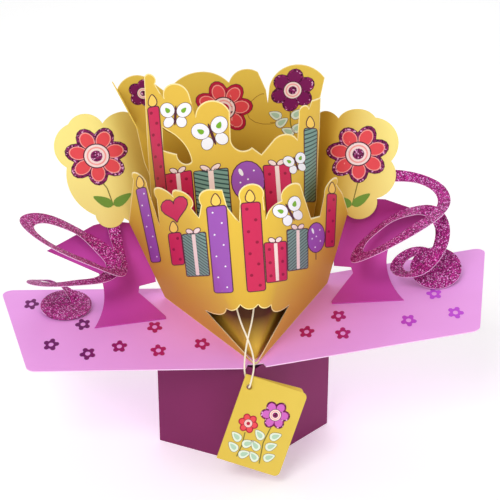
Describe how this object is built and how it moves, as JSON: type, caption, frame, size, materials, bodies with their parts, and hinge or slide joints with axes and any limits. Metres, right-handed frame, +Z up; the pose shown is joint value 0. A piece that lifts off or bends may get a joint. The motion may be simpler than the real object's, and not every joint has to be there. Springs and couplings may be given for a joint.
{
  "type": "pop up card",
  "caption": "Stand-up greeting card: a folded base tube, a wide two-winged shelf, nested die-cut bowl panels, paper swirls and a hanging gift tag.",
  "frame": {"origin": "on the table, at the centre of the card's bounding box in plan, measured without the string and the tag on it", "axes": "+X to the right along the shelf's width, +Y away from the viewer, +Z up"},
  "size_m": [0.2446, 0.117, 0.1802],
  "materials": {
    "plum_card": "smooth printed card",
    "pink_card": "smooth printed card",
    "pale_yellow_card": "smooth printed card",
    "deep_yellow_card": "smooth printed card",
    "middle_yellow_card": "smooth printed card",
    "yellow_card": "smooth printed card",
    "magenta_card": "smooth printed card",
    "glitter_card": "glitter-coated card",
    "tag_card": "smooth printed card",
    "cream_string": "twisted thread"
  },
  "bodies": {
    "root": {"base_tube": "plum_card", "shelf": "pink_card", "wing_sheet": "pale_yellow_card", "bowl_tall": "deep_yellow_card", "bowl_middle": "middle_yellow_card", "bowl_front": "yellow_card", "left_support": "magenta_card", "right_support": "magenta_card", "left_swirl": "glitter_card", "right_swirl": "glitter_card", "gift_tag": "tag_card", "tag_string": "cream_string"}
  },
  "joints": []
}
